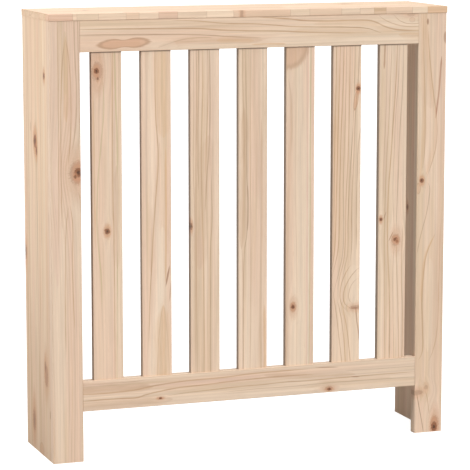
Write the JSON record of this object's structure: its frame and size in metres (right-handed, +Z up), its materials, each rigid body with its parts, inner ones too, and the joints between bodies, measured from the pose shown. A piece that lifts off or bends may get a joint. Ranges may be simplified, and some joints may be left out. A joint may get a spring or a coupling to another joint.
{
  "type": "radiator cover cabinet",
  "caption": "Free-standing solid pine radiator cover: slatted front frame on two feet, side panels and a flat top board, open at the back and below.",
  "frame": {"origin": "on the floor, under the middle of the top board", "axes": "+X to the right along the front, +Y from the slatted front towards the wall, +Z up"},
  "size_m": [0.797, 0.19, 0.84],
  "materials": {
    "frame_pine": "raw planed and sanded knotty pine, no varnish",
    "top_board_pine": "raw sanded pine, glued up from finger-jointed staves",
    "beech_dowel": "raw turned beech",
    "zinc_plated_steel": "bright zinc plated sheet steel and screws"
  },
  "bodies": {
    "root": {"bottom_rail": "frame_pine", "bottom_rail_left_lower_dowel": "beech_dowel", "bottom_rail_left_upper_dowel": "beech_dowel", "bottom_rail_right_lower_dowel": "beech_dowel", "bottom_rail_right_upper_dowel": "beech_dowel", "left_panel_lower_dowel": "beech_dowel", "left_panel_middle_dowel": "beech_dowel", "left_panel_top_front_dowel": "beech_dowel", "left_panel_top_rear_dowel": "beech_dowel", "left_panel_upper_dowel": "beech_dowel", "left_side_panel": "frame_pine", "left_stile": "frame_pine", "left_stile_lower_bracket": "zinc_plated_steel", "left_stile_lower_bracket_screw_into_panel": "zinc_plated_steel", "left_stile_lower_bracket_screw_into_stile": "zinc_plated_steel", "left_stile_upper_bracket": "zinc_plated_steel", "left_stile_upper_bracket_screw_into_panel": "zinc_plated_steel", "left_stile_upper_bracket_screw_into_stile": "zinc_plated_steel", "left_top_front_bracket": "zinc_plated_steel", "left_top_front_bracket_screw_into_panel": "zinc_plated_steel", "left_top_front_bracket_screw_into_top": "zinc_plated_steel", "left_top_rear_bracket": "zinc_plated_steel", "left_top_rear_bracket_screw_into_panel": "zinc_plated_steel", "left_top_rear_bracket_screw_into_top": "zinc_plated_steel", "right_panel_lower_dowel": "beech_dowel", "right_panel_middle_dowel": "beech_dowel", "right_panel_top_front_dowel": "beech_dowel", "right_panel_top_rear_dowel": "beech_dowel", "right_panel_upper_dowel": "beech_dowel", "right_side_panel": "frame_pine", "right_stile": "frame_pine", "right_stile_lower_bracket": "zinc_plated_steel", "right_stile_lower_bracket_screw_into_panel": "zinc_plated_steel", "right_stile_lower_bracket_screw_into_stile": "zinc_plated_steel", "right_stile_upper_bracket": "zinc_plated_steel", "right_stile_upper_bracket_screw_into_panel": "zinc_plated_steel", "right_stile_upper_bracket_screw_into_stile": "zinc_plated_steel", "right_top_front_bracket": "zinc_plated_steel", "right_top_front_bracket_screw_into_panel": "zinc_plated_steel", "right_top_front_bracket_screw_into_top": "zinc_plated_steel", "right_top_rear_bracket": "zinc_plated_steel", "right_top_rear_bracket_screw_into_panel": "zinc_plated_steel", "right_top_rear_bracket_screw_into_top": "zinc_plated_steel", "slat_1": "frame_pine", "slat_2": "frame_pine", "slat_3": "frame_pine", "slat_4": "frame_pine", "slat_5": "frame_pine", "slat_6": "frame_pine", "slat_7": "frame_pine", "top_board": "top_board_pine", "top_rail": "frame_pine", "top_rail_left_lower_dowel": "beech_dowel", "top_rail_left_upper_dowel": "beech_dowel", "top_rail_right_lower_dowel": "beech_dowel", "top_rail_right_upper_dowel": "beech_dowel", "top_rail_top_left_dowel": "beech_dowel", "top_rail_top_right_dowel": "beech_dowel"}
  },
  "joints": []
}
